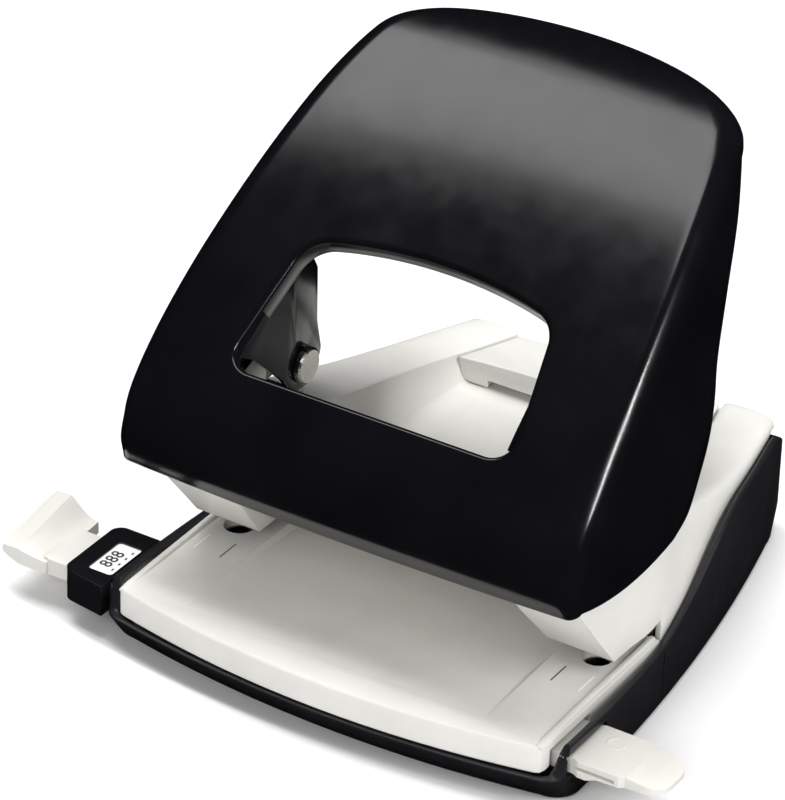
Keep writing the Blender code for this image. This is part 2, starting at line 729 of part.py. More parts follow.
def make_lever_hardware(side, word):
    fy = FULCRUM[0]
    lug = rounded([(fy + 4.0, 40.3), (fy + 4.0, 50.0), (-17.0, 57.5), (-22.4, 52.4), (-25.6, 49.5),
                   (-25.8, 42.6), (fy - 3.0, 40.3)], [4, 4, 1, 1, 1, 1, 3])
    low_x, high_x = sorted((side * 31.9, side * 33.2))
    plate = prism("handle_lug_" + word, lug, "X", low_x, high_x, "steel")
    carve(plate, rod("hole", "X", FULCRUM, -50, 50, PIN_R + RUN))
    smooth(plate)

    turned("fulcrum_pin_" + word, "X", FULCRUM,
           [(side * 30.6, 3.2), (side * 31.5, 3.2), (side * 31.5, PIN_R), (side * 47.7, PIN_R)], "steel")
    head = [(27.2, 3.3), (27.5, 3.7), (28.4, 3.7), (28.4, PIN_R), (47.7, PIN_R)]
    pin = turned("drive_pin_" + word, "X", DRIVE, [(side * a, r) for a, r in head], "steel")
    smooth(pin)

    clip = turned("drive_clip_" + word, "X", DRIVE, [(side * 30.5, 3.6), (side * 31.3, 3.6)], "spring_steel")
    carve(clip, rod("hole", "X", DRIVE, -50, 50, PIN_R + RUN),
          box("gap", (-50, DRIVE[0] - 1.2, DRIVE[1] - 6), (50, DRIVE[0] + 1.2, DRIVE[1] - 1)))
    smooth(clip)


def make_guide():
    low_y, high_y = RAIL_Y - 6.5, RAIL_Y + 6.5
    tab = rounded([(-65.8, low_y + 0.6), (50.8, low_y + 0.6), (52.0, low_y), (60.5, low_y), (61.5, low_y + 0.7),
                   (69.0, low_y + 0.7), (69.0, high_y - 0.7), (61.5, high_y - 0.7), (60.5, high_y),
                   (50.6, high_y), (49.4, high_y - 0.6), (-65.8, high_y - 0.6)],
                  [0, 0.5, 0.5, 0.3, 0.3, 4.0, 4.0, 0.3, 0.3, 0.5, 0.5, 0])
    rail = prism("guide_rail", tab, "Z", 6.5, 10.0, "grey_plastic")
    recess = box("cut", (-65.0, low_y + 2.0, 9.4), (24.0, high_y - 2.0, 12))
    thin = prism("cut", [(52.5, 5), (70, 5), (70, 7.9), (56, 7.4), (53.5, 6.4)], "Y", -40, 0)
    carve(rail, recess, thin)
    smooth(soften(rail, 0.35))

    strip = box("scale_strip", (-64.6, low_y + 2.4, 9.7), (23.6, high_y - 2.4, 10.05), "label")
    strip.data.update()

    front = rounded([(-66.1, 6.5), (-71.5, 6.5), (-75.6, 8.4), (-76.4, 9.6), (-72.4, 9.9), (-71.0, 9.4),
                     (-69.5, 9.9), (-66.1, 10.2)], [0, 1, 1, 0.4, 0.3, 0.3, 0.3, 0], 2)
    back = rounded([(-66.1, 6.5), (-71.5, 6.5), (-75.8, 8.4), (-76.6, 13.2), (-72.4, 13.4), (-69.0, 11.4),
                    (-67.0, 10.9), (-66.1, 10.4)], [0, 1, 1, 0.4, 0.3, 0.3, 0.3, 0], 2)
    count = 6
    rings = []
    for k in range(count + 1):
        u = k / count
        y = low_y + (high_y + 4.6 - low_y) * u
        rings.append([(a[0] + (b[0] - a[0]) * u, y, a[1] + (b[1] - a[1]) * u) for a, b in zip(front, back)])
    smooth(loft("guide_stop", rings, "grey_plastic"), 30)


def make_scale_housing():
    low_y, high_y = RAIL_Y - 10.2, RAIL_Y + 9.6
    outline = rounded([(-60.6, low_y + 1.5), (-50.7, low_y), (-50.7, high_y), (-60.6, high_y)],
                      [2.5, 0, 0, 2.5])
    body = prism("scale_housing", outline, "Z", 4.9, 11.6, "black_plastic")
    tunnel = box("cut", (-70, RAIL_Y - 7.0, 5.9), (-40, RAIL_Y + 7.0, 10.6))
    view = prism("cut", rounded([(-57.2, -27.0), (-51.6, -27.0), (-51.6, -16.0), (-57.2, -16.0)], 0.8),
                 "Z", 8, 15)
    carve(body, tunnel, view)
    return smooth(soften(body, 0.5))


def make_detent():
    """Leaf with a rounded nose that presses on the rail's back edge."""
    points = [(-18.0, -12.4), (-8.0, -12.9), (-2.5, -12.9), (0.0, -13.9), (2.5, -12.9), (8.0, -12.9), (18.0, -12.4)]
    outline = [(x, y) for x, y in points] + [(x, y + 0.5) for x, y in reversed(points)]
    return prism("detent_spring", outline, "Z", 6.9, 9.8, "spring_steel")


def make_tray():
    def ring(inset, z):
        return [(x, y, z) for x, y in base_outline(inset, 4.5, 12.8)]
    rings = [ring(BASE_WALL + 1.0, 1.0), ring(BASE_WALL + 0.8, 5.0), ring(BASE_WALL + 2.0, 5.0),
             ring(BASE_WALL + 2.2, 2.4)]
    tray = loft("chip_tray", rings, "black_plastic")
    for side in (-1, 1):
        low_x, high_x = sorted((side * 18.0, side * 26.0))
        ear = prism("knuckle", rounded([(60.0, 1.2), (69.5, 1.6), (72.3, 4.4), (69.5, 7.2), (64.0, 4.6),
                                        (60.0, 2.2)], [0, 2.0, 2.0, 2.0, 0.5, 0]), "X", low_x, high_x)
        fuse(tray, ear)
    carve(tray, rod("hole", "X", TRAY_AXIS, -40, 40, 1.38))
    smooth(tray)

    rod("tray_hinge_pin", "X", TRAY_AXIS, -32.6, 32.6, 1.3, "steel")
    outline = base_outline(BASE_WALL + 5.0, 4.5, 11.0, 6)
    prism("grip_sole", outline, "Z", 0.0, 0.7, "rubber")


def make_housing_screws():
    for side, word in ((-1, "left"), (1, "right")):
        for y, tag in ((26.0, "front"), (60.0, "rear")):
            screw = turned("housing_screw_" + tag + "_" + word, "Z", (side * 24.0, y),
                           [(5.3, 2.6), (6.5, 2.9), (6.6, 1.5), (17.5, 1.5), (18.6, 0.6)], "steel", 12)
            carve(screw, box("slot", (side * 24.0 - 4, y - 0.35, 4), (side * 24.0 + 4, y + 0.35, 6.0)))
            smooth(screw)


def seat(point, *names):
    """Put the origins of moving pieces on their joint's axis; the shapes stay put."""
    shift = Vector(point) * MM
    for name in names:
        item = bpy.data.objects[name]
        item.data.transform(Matrix.Translation(-shift))
        item.location = shift


def seat_moving_pieces():
    seat((0, *FULCRUM), "handle_shell")
    seat((0, *TRAY_AXIS), "chip_tray", "grip_sole")
    seat((0, RAIL_Y, 8.0), "guide_rail", "guide_stop", "scale_strip")
    for side, word in ((-1, "left"), (1, "right")):
        seat((side * PUNCH_X, 0, 0), "punch_pin_" + word, "crosshead_" + word,
             "spring_washer_" + word, "return_spring_" + word)
        seat((side * PUNCH_X, *FULCRUM), "handle_lug_" + word, "fulcrum_pin_" + word,
             "drive_pin_" + word, "drive_clip_" + word)


def build():
    clear_scene()
    make_base_shell()
    make_platform_plate()
    make_housing()
    make_center_deck()
    make_chassis()
    make_housing_screws()
    make_scale_housing()
    make_detent()
    make_handle_shell()
    for side, word in ((-1, "left"), (1, "right")):
        make_tower(side, word)
        make_lever_hardware(side, word)
    make_guide()
    make_tray()
    seat_moving_pieces()


build()
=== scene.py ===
import math

import bmesh
import bpy
from mathutils import Euler, Matrix, Vector


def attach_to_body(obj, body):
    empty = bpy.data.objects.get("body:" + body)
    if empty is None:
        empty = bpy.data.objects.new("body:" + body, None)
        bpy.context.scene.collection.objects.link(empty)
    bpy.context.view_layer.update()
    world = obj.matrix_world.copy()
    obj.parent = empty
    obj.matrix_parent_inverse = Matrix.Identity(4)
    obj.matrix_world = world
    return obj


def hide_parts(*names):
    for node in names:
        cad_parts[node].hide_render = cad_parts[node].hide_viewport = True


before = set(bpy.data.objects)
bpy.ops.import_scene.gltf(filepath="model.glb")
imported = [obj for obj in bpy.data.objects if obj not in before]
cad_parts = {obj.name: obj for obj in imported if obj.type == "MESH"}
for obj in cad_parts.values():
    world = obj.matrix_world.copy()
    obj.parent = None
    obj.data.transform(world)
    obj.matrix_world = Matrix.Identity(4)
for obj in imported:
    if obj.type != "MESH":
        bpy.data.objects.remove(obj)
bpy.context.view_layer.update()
MM = 0.001


# ---------------------------------------------------------------- materials

class Shader:
    """Small helper around one node-based material."""

    def __init__(self, name, colour, rough, metal=0.0, coat=0.0, coat_rough=0.05, spec=0.5):
        self.material = bpy.data.materials.new(name)
        self.material.use_nodes = True
        self.tree = self.material.node_tree
        self.body = self.tree.nodes["Principled BSDF"]
        self.coords = self.tree.nodes.new("ShaderNodeTexCoord").outputs["Object"]
        self.set("Base Color", (*colour, 1.0))
        self.set("Roughness", rough)
        self.set("Metallic", metal)
        self.set("Coat Weight", coat)
        self.set("Coat Roughness", coat_rough)
        self.set("Specular IOR Level", spec)
        self.colour = (*colour, 1.0)
        self.rough = rough
        self.height = None

    def set(self, socket, value):
        self.body.inputs[socket].default_value = value

    def node(self, kind, **inputs):
        item = self.tree.nodes.new(kind)
        for key, value in inputs.items():
            item.inputs[key.replace("_", " ")].default_value = value
        return item

    def link(self, a, b):
        self.tree.links.new(a, b)

    def noise(self, scale, detail=4.0, rough=0.55, stretch=None):
        item = self.node("ShaderNodeTexNoise", Scale=scale, Detail=detail, Roughness=rough)
        source = self.coords
        if stretch:
            mapping = self.tree.nodes.new("ShaderNodeMapping")
            mapping.inputs["Scale"].default_value = stretch
            self.link(source, mapping.inputs["Vector"])
            source = mapping.outputs["Vector"]
        self.link(source, item.inputs["Vector"])
        return item.outputs["Fac"]

    def remap(self, value, low, high, out_low, out_high):
        item = self.tree.nodes.new("ShaderNodeMapRange")
        self.link(value, item.inputs["Value"])
        item.inputs["From Min"].default_value = low
        item.inputs["From Max"].default_value = high
        item.inputs["To Min"].default_value = out_low
        item.inputs["To Max"].default_value = out_high
        return item.outputs["Result"]

    def mix(self, factor, a, b):
        item = self.tree.nodes.new("ShaderNodeMix")
        item.data_type = "RGBA"
        self.link(factor, item.inputs["Factor"])
        for socket, value in ((item.inputs["A"], a), (item.inputs["B"], b)):
            if isinstance(value, tuple):
                socket.default_value = value
            else:
                self.link(value, socket)
        return item.outputs["Result"]

    def bump(self, value, strength, distance):
        item = self.node("ShaderNodeBump", Strength=strength, Distance=distance)
        self.link(value, item.inputs["Height"])
        if self.height is not None:
            self.link(self.height, item.inputs["Normal"])
        self.height = item.outputs["Normal"]
        self.link(self.height, self.body.inputs["Normal"])
        return self

    def vary_colour(self, scale, amount, detail=3.0):
        darker = tuple(c * (1 - amount) for c in self.colour[:3]) + (1.0,)
        lighter = tuple(min(1.0, c * (1 + amount)) for c in self.colour[:3]) + (1.0,)
        factor = self.remap(self.noise(scale, detail), 0.3, 0.7, 0.0, 1.0)
        self.link(self.mix(factor, darker, lighter), self.body.inputs["Base Color"])
        return self

    def vary_rough(self, scale, amount, detail=4.0, stretch=None):
        value = self.remap(self.noise(scale, detail, 0.6, stretch), 0.3, 0.7,
                           max(0.02, self.rough - amount), self.rough + amount)
        self.link(value, self.body.inputs["Roughness"])
        return self


def plastic(name, colour, rough, grain=2600.0, grain_depth=0.000012, vary=0.035, spec=0.5):
    s = Shader(name, colour, rough, spec=spec)
    s.vary_colour(90.0, vary)
    s.vary_rough(240.0, 0.06)
    s.bump(s.noise(grain, 2.0), 0.35, grain_depth)
    return s.material


def enamel(name):
    s = Shader(name, (0.0036, 0.0034, 0.0046), 0.16, spec=0.42)
    s.vary_colour(60.0, 0.25)
    s.vary_rough(150.0, 0.03)
    s.bump(s.noise(420.0, 2.0), 0.05, 0.00002)
    s.bump(s.noise(70.0, 1.0), 0.04, 0.0001)
    return s.material


def metal(name, colour, rough, stretch=(1.0, 1.0, 14.0), scale=900.0, depth=0.000006):
    s = Shader(name, colour, rough, metal=1.0)
    s.vary_colour(160.0, 0.08)
    s.vary_rough(500.0, 0.07, stretch=stretch)
    s.bump(s.noise(scale, 3.0, 0.6, stretch), 0.25, depth)
    return s.material


def rubber(name, colour=(0.018, 0.018, 0.019)):
    s = Shader(name, colour, 0.8, spec=0.25)
    s.vary_colour(200.0, 0.2)
    s.vary_rough(300.0, 0.1)
    cells = s.node("ShaderNodeTexVoronoi", Scale=620.0)
    s.link(s.coords, cells.inputs["Vector"])
    s.bump(cells.outputs["Distance"], 0.5, 0.00012)
    return s.material


LIGHT_GREY = plastic("light_grey_plastic", (0.70, 0.69, 0.655), 0.42)
PLATE_GREY = plastic("plate_grey_plastic", (0.70, 0.69, 0.655), 0.40)
GUIDE_GREY = plastic("guide_grey_plastic", (0.67, 0.655, 0.615), 0.36)
BLACK = plastic("black_plastic", (0.013, 0.0125, 0.015), 0.34, grain_depth=0.00002, vary=0.12)
BLACK_GLOSS = plastic("black_display_plastic", (0.006, 0.006, 0.007), 0.16, grain_depth=0.000006, vary=0.1)
ENAMEL = enamel("black_enamel")
PIN_STEEL = metal("pin_steel", (0.47, 0.46, 0.43), 0.27)
SHEET_STEEL = metal("sheet_steel", (0.42, 0.42, 0.41), 0.34, stretch=(14.0, 1.0, 1.0))
DARK_STEEL = metal("dark_steel", (0.10, 0.10, 0.105), 0.36)
SPRING_STEEL = metal("spring_steel", (0.33, 0.33, 0.34), 0.25)
SOLE = rubber("sole_rubber")
WHITE_LABEL = plastic("white_label", (0.84, 0.84, 0.82), 0.5, grain_depth=0.000004, vary=0.02)
INK = plastic("black_ink", (0.02, 0.02, 0.02), 0.5, grain_depth=0.000003, vary=0.2)
# The next two flat colours are painted light for the thin strips beside each nose. The white one is a
# painted highlight standing in for a lit rib edge. The grey one is painted shade standing in for a
# shadowed groove.
PAINTED_HIGHLIGHT_WHITE = plastic("painted_highlight_white", (0.92, 0.92, 0.9), 0.5, grain_depth=0.000003, vary=0.02)
PAINTED_SHADE_GREY = plastic("painted_shade_grey", (0.10, 0.10, 0.10), 0.5, grain_depth=0.000003, vary=0.1)


# ---------------------------------------------------------------- mesh tools

def mesh_object(name, points, faces, material, body, slot=None):
    """Mesh from millimetre points, noting the body and slot planned for it."""
    mesh = bpy.data.meshes.new(name)
    mesh.from_pydata([Vector(p) * MM for p in points], [], faces)
    work = bmesh.new()
    work.from_mesh(mesh)
    bmesh.ops.remove_doubles(work, verts=work.verts, dist=1e-7)
    bmesh.ops.recalc_face_normals(work, faces=work.faces)
    work.to_mesh(mesh)
    work.free()
    item = bpy.data.objects.new(name, mesh)
    bpy.context.collection.objects.link(item)
    if material:
        mesh.materials.append(material)
    item["planned_body"] = body or ""
    item["planned_slot"] = slot or ""
    return item


def attach(item, *replaced):
    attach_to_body(item, item["planned_body"])
    if replaced:
        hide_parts(*replaced)
    return item


def loft(name, rings, material=None, body=None, slot=None, wrap=False):
    """Skin over equal rings of points, closed by caps or wrapped round."""
    count = len(rings[0])
    points = [p for ring in rings for p in ring]
    faces = []
    last = len(rings) if wrap else len(rings) - 1
    for r in range(last):
        a = r * count
        b = ((r + 1) % len(rings)) * count
        for k in range(count):
            n = (k + 1) % count
            faces.append((a + k, a + n, b + n, b + k))
    if not wrap:
        faces.append(tuple(range(count)))
        top = (len(rings) - 1) * count
        faces.append(tuple(top + k for k in reversed(range(count))))
    return mesh_object(name, points, faces, material, body, slot)


def prism(name, outline, axis, low, high, material=None, body=None, slot=None):
    """Outline in the plane across an axis, drawn out from low to high."""
    def place(p, h):
        if axis == "X":
            return (h, p[0], p[1])
        if axis == "Y":
            return (p[0], h, p[1])
        return (p[0], p[1], h)
    rings = [[place(p, low) for p in outline], [place(p, high) for p in outline]]
    return loft(name, rings, material, body, slot)


def box(name, low, high, material=None, body=None, slot=None):
    outline = [(low[0], low[1]), (high[0], low[1]), (high[0], high[1]), (low[0], high[1])]
    return prism(name, outline, "Z", low[2], high[2], material, body, slot)


def rounded(corners, radii, steps=6):
    """Outline with each corner replaced by an arc; a radius of 0 keeps it sharp."""
    result = []
    count = len(corners)
    for k in range(count):
        here = Vector(corners[k])
        before = (Vector(corners[k - 1]) - here).normalized()
        after = (Vector(corners[(k + 1) % count]) - here).normalized()
        radius = radii[k] if isinstance(radii, (list, tuple)) else radii
        if radius <= 0:
            result.append(tuple(here))
            continue
        half = before.angle(after) / 2
        reach = radius / math.tan(half)
        centre = here + (before + after).normalized() * (radius / math.sin(half))
        start = here + before * reach - centre
        end = here + after * reach - centre
        for j in range(steps + 1):
            blend = start.lerp(end, j / steps)
            result.append(tuple(centre + blend.normalized() * radius))
    return result


def circle(centre, radius, steps=48):
    return [(centre[0] + radius * math.cos(2 * math.pi * k / steps),
             centre[1] + radius * math.sin(2 * math.pi * k / steps)) for k in range(steps)]


def rod(name, axis, centre, low, high, radius, steps=48):
    return prism(name, circle(centre, radius, steps), axis, low, high)


def turned(name, axis, centre, profile, material=None, body=None, slot=None, steps=48):
    """Round piece from a profile of (place along the axis, radius)."""
    rings = []
    for along, radius in profile:
        ring = circle(centre, radius, steps)
        if axis == "X":
            rings.append([(along, p[0], p[1]) for p in ring])
        else:
            rings.append([(p[0], p[1], along) for p in ring])
    return loft(name, rings, material, body, slot)


def bake(item):
    """Apply all modifiers of an object."""
    graph = bpy.context.evaluated_depsgraph_get()
    fresh = bpy.data.meshes.new_from_object(item.evaluated_get(graph))
    item.modifiers.clear()
    item.data = fresh


def combine(target, tools, operation):
    for tool in tools:
        step = target.modifiers.new("step", "BOOLEAN")
        step.operation = operation
        step.solver = "EXACT"
        step.object = tool
        bake(target)
        bpy.data.objects.remove(tool, do_unlink=True)
    return target


def carve(target, *tools):
    return combine(target, tools, "DIFFERENCE")


def fuse(target, *tools):
    return combine(target, tools, "UNION")


def soften(item, width, segments=3, angle=35.0):
    step = item.modifiers.new("edges", "BEVEL")
    step.width = width * MM
    step.segments = segments
    step.limit_method = "ANGLE"
    step.angle_limit = math.radians(angle)
    step.harden_normals = False
    bake(item)
    return item


def smooth(item, angle=35.0):
    item.data.shade_smooth()
    item.data.set_sharp_from_angle(angle=math.radians(angle))
    return item


def catmull(points, t):
    """Smooth curve through rows of numbers, t from 0 to 1."""
    last = len(points) - 1
    x = min(max(t, 0.0), 1.0) * last
    k = min(int(x), last - 1)
    f = x - k
    p1, p2 = Vector(points[k]), Vector(points[k + 1])
    p0 = Vector(points[k - 1]) if k > 0 else p1 * 2 - p2
    p3 = Vector(points[k + 2]) if k + 2 <= last else p2 * 2 - p1
    return (p1 * 2 + (p2 - p0) * f + (p0 * 2 - p1 * 5 + p2 * 4 - p3) * f * f
            + (p1 * 3 - p0 - p2 * 3 + p3) * f ** 3) * 0.5


# ---------------------------------------------------------------- shared sizes, in millimetres

GAP = 0.3
PUNCH_X = 40.0
STOP_Y = 12.0
PLATE_Z = 13.0
PLATE_HALF = 46.6
SLOT_TOP = 17.2
BASE_HALF = 50.4
BASE_TAPER = 13.0
BASE_FRONT = 37.0
BASE_FRONT_BULGE = 6.0
BASE_BACK = 79.0
BASE_WALL = 1.6
RAIL_Y = -21.0
DRIVE = (4.0, 51.0)
PIN_R = 2.0
SHEET = 1.4
EDGE_R = 5.0
EAR_X = 29.4


# ---------------------------------------------------------------- base

def side_half(y):
    """Half width of the base at a given depth."""
    return BASE_HALF - BASE_TAPER * (max(0.0, y + 25.0) / 100.0) ** 2


def base_outline(inset=0.0, front_in=0.0, back_in=0.0, side_steps=40, arc=8):
    front = -BASE_FRONT + front_in + inset
    corner_y = front + BASE_FRONT_BULGE
    back = BASE_BACK - back_in - inset
    right = []
    for k in range(13):
        x = (BASE_HALF - 5.0 - inset) * k / 12
        drop = (x / (BASE_HALF - 5.0)) ** 2
        right.append((x, front + BASE_FRONT_BULGE * 0.75 * drop))
    start_y = corner_y + 3.5
    start = right[-1]
    for k in range(1, arc):
        a = math.radians(90 * k / arc)
        right.append((start[0] + (BASE_HALF - inset - start[0]) * math.sin(a),
                      start[1] + (start_y - start[1]) * (1 - math.cos(a))))
    end_y = back - 4.0
    for k in range(side_steps + 1):
        y = start_y + (end_y - start_y) * k / side_steps
        right.append((side_half(y) - inset, y))
    x_end = right[-1][0]
    for k in range(1, arc + 1):
        a = math.radians(90 * k / arc)
        right.append((x_end - 4.0 * (1 - math.cos(a)), end_y + 4.0 * math.sin(a)))
    right.append((x_end * 0.66, back + 0.35))
    right.append((x_end * 0.33, back + 0.55))
    left = [(-x, y) for x, y in reversed(right) if x > 1e-6]
    return right + left


RIM_FRONT = 6.6
RIM_SIDE = 12.3
RIM_RISE = 12.2
RIM_REAR = 24.5


def rim_height(y):
    """Rim line: low in front, level beside the plate, then up towards the rear."""
    if y < -29.5:
        return RIM_FRONT
    if y < -27.5:
        return RIM_FRONT + (RIM_SIDE - RIM_FRONT) * (y + 29.5) / 2.0
    if y < 6.0:
        return RIM_SIDE
    if y < 50.0:
        t = (y - 6.0) / 44.0
        return RIM_SIDE + RIM_RISE * t * t * (3 - 2 * t)
    return RIM_REAR - (y - 50.0) / 20.0 - 4.0 * (max(0.0, y - 70.0) / 9.0) ** 2


# Rings of the tub's wall. Outside and inside: inset, front setback, back setback
# and height. Over the rounded rim: inset and drop below the rim line.
SKIRT_OUTSIDE = [(0.7, 4.5, 5.0, 0.05), (0.2, 4.2, 4.8, 0.3), (0.0, 3.8, 4.3, 0.9),
                 (0.0, 0.5, 0.5, 5.4), (0.0, 0.0, 0.0, 6.3)]
RIM_SECTION = [(0.0, 0.45), (0.15, 0.12), (0.45, 0.0), (1.15, 0.0), (1.45, 0.12), (BASE_WALL, 0.45)]
SKIRT_INSIDE = [(BASE_WALL, 0.0, 0.0, 6.0), (BASE_WALL, 4.5, 5.0, 0.05)]
# Centre of the tray's hinge pin as (depth, height)
TRAY_AXIS = (69.5, 4.4)


def make_base():
    rings = [[(x, y, height) for x, y in base_outline(inset, front_in, back_in)]
             for inset, front_in, back_in, height in SKIRT_OUTSIDE]
    rings += [[(x, y, rim_height(y) - lower) for x, y in base_outline(inset)]
              for inset, lower in RIM_SECTION]
    rings += [[(x, y, height) for x, y in base_outline(inset, front_in, back_in)]
              for inset, front_in, back_in, height in SKIRT_INSIDE]
    shell = loft("base_tub", rings, BLACK, "base", "body_black", wrap=True)
    tunnel = rounded([(RAIL_Y - 7.2, 5.4), (RAIL_Y + 7.2, 5.4), (RAIL_Y + 7.2, 10.7),
                      (RAIL_Y - 7.2, 10.7)], 0.6, 4)
    carve(shell, prism("cut", tunnel, "X", -60, 60))
    for side in (-1, 1):
        outer = side_half(10.0)
        groove = box("cut", (side * outer - 0.18, 9.8, -1), (side * outer + 0.18, 10.1, 11.6))
        carve(shell, groove)
        low_x, high_x = sorted((side * 29.0, side * 32.0))
        boss = prism("boss", [(66.3, 1.6), (74.0, 1.6), (78.2, 6.6), (78.2, 7.4), (66.3, 7.4)],
                     "X", low_x, high_x)
        carve(boss, rod("hole", "X", TRAY_AXIS, low_x - 1, high_x + 1, 1.38))
        fuse(shell, boss)
    smooth(shell, 40)
    attach(shell, "base_shell")


def plate_outline(inset=0.0):
    right = []
    for k in range(17):
        x = (PLATE_HALF - 1.2 - inset) * k / 16
        right.append((x, -BASE_FRONT + 0.4 + inset + 5.4 * (x / PLATE_HALF) ** 2))
    right.append((PLATE_HALF - 0.35 - inset, right[-1][1] + 0.45))
    right.append((PLATE_HALF - inset, right[-1][1] + 1.15))
    for k in range(1, 7):
        right.append((PLATE_HALF - inset, -30.0 + (STOP_Y - GAP - inset + 30.0) * k / 6))
    left = [(-x, y) for x, y in reversed(right) if x > 1e-6]
    return right + left


# Side bead of the plate: height of its foot, then (depth, share of its full rise)
BEAD_Z = 12.4
BEAD_RISE = [(-31.2, 0.0), (-29.0, 0.30), (-20.0, 0.55), (0.0, 0.8), (9.4, 0.95), (10.5, 0.9), (10.9, 0.4)]


def make_plate():
    rings = [[(p[0], p[1], z) for p in plate_outline(inset)] for inset, z in
             ((0.3, 7.0), (0.0, 7.35), (0.0, 12.45), (0.1, 12.75), (0.28, 12.93), (0.55, PLATE_Z))]
    plate = loft("paper_plate", rings, PLATE_GREY, "base", "body_grey")
    hollow = prism("cut", plate_outline(1.8), "Z", 5.0, 11.0)
    rear = box("cut", (1.8 - PLATE_HALF, 0, 5.0), (PLATE_HALF - 1.8, STOP_Y + 2, 11.0))
    rail = box("cut", (-60, RAIL_Y - 7.3, 4.0), (60, RAIL_Y + 7.3, 10.9))
    sections = []
    for k in range(9):
        u = k / 8
        y = -28.8 + (STOP_Y + 3 + 28.8) * u
        depth = 0.02 + 1.62 * u
        half = 33.2 - 1.0 * u
        wall = 0.25 + 1.1 * u
        sections.append([(-half, y, 13.3), (-half, y, 13.0), (-half + wall, y, 13.0 - depth * 0.8),
                         (-half + wall * 2.2, y, 13.0 - depth), (half - wall * 2.2, y, 13.0 - depth),
                         (half - wall, y, 13.0 - depth * 0.8), (half, y, 13.0), (half, y, 13.3)])
    dish = loft("cut", sections)
    carve(plate, hollow, rear, rail, dish)
    for side in (-1, 1):
        carve(plate, rod("hole", "Z", (side * PUNCH_X, 0), 5, 20, 3.05))
        section = rounded([(PLATE_HALF - 1.9, BEAD_Z), (PLATE_HALF - 0.15, BEAD_Z),
                           (PLATE_HALF - 0.3, 14.1), (PLATE_HALF - 1.45, 14.1)], [0, 0, 0.45, 0.45], 4)
        rings = []
        for y, high in BEAD_RISE:
            rings.append([(side * x, y, BEAD_Z + (z - BEAD_Z) * (0.36 + 0.64 * high)) for x, z in section])
        word = "left" if side < 0 else "right"
        bead = loft("plate_bead_" + word, rings, PLATE_GREY, "base", "body_grey")
        smooth(bead, 40)
        attach(bead)
    smooth(plate, 28)
    attach(plate, "platform_plate")
    # Thin flat strips beside each nose: the outer white strip is a painted highlight for a lit rib edge,
    # and the inner grey strip is painted shade for a shadowed groove. The plate has no rib or groove
    # there.
    for side, word in ((-1, "left"), (1, "right")):
        for tag, x, width, light_paint in (("outer", 42.6, 0.35, PAINTED_HIGHLIGHT_WHITE), ("inner", 36.6, 0.3, PAINTED_SHADE_GREY)):
            low_x, high_x = sorted((side * x, side * (x + width)))
            mark = box("margin_mark_" + tag + "_" + word, (low_x, -11.6, 12.98), (high_x, -6.0, 13.03),
                       light_paint, "base", "body_grey")
            attach(mark)


# ---------------------------------------------------------------- housing

# Depth, half width and height of the outer crease, then of the arm's inner edge
ARM_STATIONS = [
    (-30.0, 47.2, 41.5, 31.4, 41.5),
    (-10.0, 47.0, 41.0, 31.4, 40.6),
    (10.0, 46.7, 38.0, 31.2, 37.6),
    (25.0, 44.2, 34.5, 30.2, 34.2),
    (38.0, 42.7, 31.2, 29.2, 31.6),
    (51.0, 41.0, 28.4, 28.1, 28.9),
    (65.0, 38.3, 26.3, 26.3, 25.9),
    (76.6, 35.1, 24.7, 23.4, 24.6),
]


def arm_foot(y):
    """Half width of the housing where it stands inside the tub."""
    return min(side_half(y) - BASE_WALL - GAP - 0.15, 46.4 + 0.1 * max(0.0, y)) - 0.4 * max(0.0, y - 72.0)


def housing_ring(t):
    """Section across both arms; the floor joins them until the cutters open it."""
    y, crease_x, crease_z, inner_x, inner_z = catmull(ARM_STATIONS, t)
    foot_x = arm_foot(y)
    crease_x = min(crease_x, side_half(y) - BASE_WALL - GAP - 0.1)
    floor_z = 21.5
    right = [(inner_x - 3.2, floor_z), (inner_x - 2.0, floor_z + 0.35), (inner_x - 1.25, floor_z + 1.5),
             (inner_x + 0.15, inner_z - 1.6), (inner_x + 0.3, inner_z - 0.35), (inner_x + 0.9, inner_z)]
    for k in range(1, 6):
        u = k / 6
        right.append((inner_x + 0.6 + (crease_x - 1.9 - inner_x - 0.6) * u,
                      inner_z + (crease_z + 0.15 - inner_z) * u + 0.7 * 4 * u * (1 - u) * 0.5))
    right += [(crease_x - 1.9, crease_z + 0.1), (crease_x - 0.9, crease_z - 0.25),
              (crease_x - 0.25, crease_z - 0.9), (crease_x, crease_z - 1.8)]
    for k in range(1, 4):
        u = k / 4
        bulge = 0.3 * 4 * u * (1 - u)
        right.append((crease_x + (foot_x - crease_x) * u - bulge,
                      crease_z - 1.8 + (16.0 - crease_z + 1.8) * u))
    right += [(foot_x, 16.0), (foot_x, 9.0)]
    left = [(-x, z) for x, z in reversed(right)]
    return [(x, y, z) for x, z in left + right]


def arm_at(y):
    """Arm section at a given depth."""
    low, high = 0.0, 1.0
    for _ in range(30):
        middle = (low + high) / 2
        if catmull(ARM_STATIONS, middle)[0] < y:
            low = middle
        else:
            high = middle
    return catmull(ARM_STATIONS, low)


def arm_cavity_ring(y, side, wall=1.8):
    _, crease_x, crease_z, inner_x, inner_z = arm_at(y)
    foot_x = arm_foot(y)
    points = [(inner_x + 2.2, 5.0), (inner_x + 2.5, inner_z - wall), (crease_x - 3.0, crease_z - wall),
              (crease_x - 1.1, crease_z - 3.6), (foot_x - 1.1, 16.0), (foot_x - 1.0, 5.0)]
    return [(side * x, y, z) for x, z in points]


def arm_cavity(side):
    """Cutter that hollows one arm from below."""
    rings = [[(x, -4.1 - (z - SLOT_TOP) * 0.79, z) for x, _, z in arm_cavity_ring(-12.0, side)]]
    for k in range(1, 13):
        rings.append(arm_cavity_ring(0.6 + 6.0 * k, side))
    return loft("cut", rings)


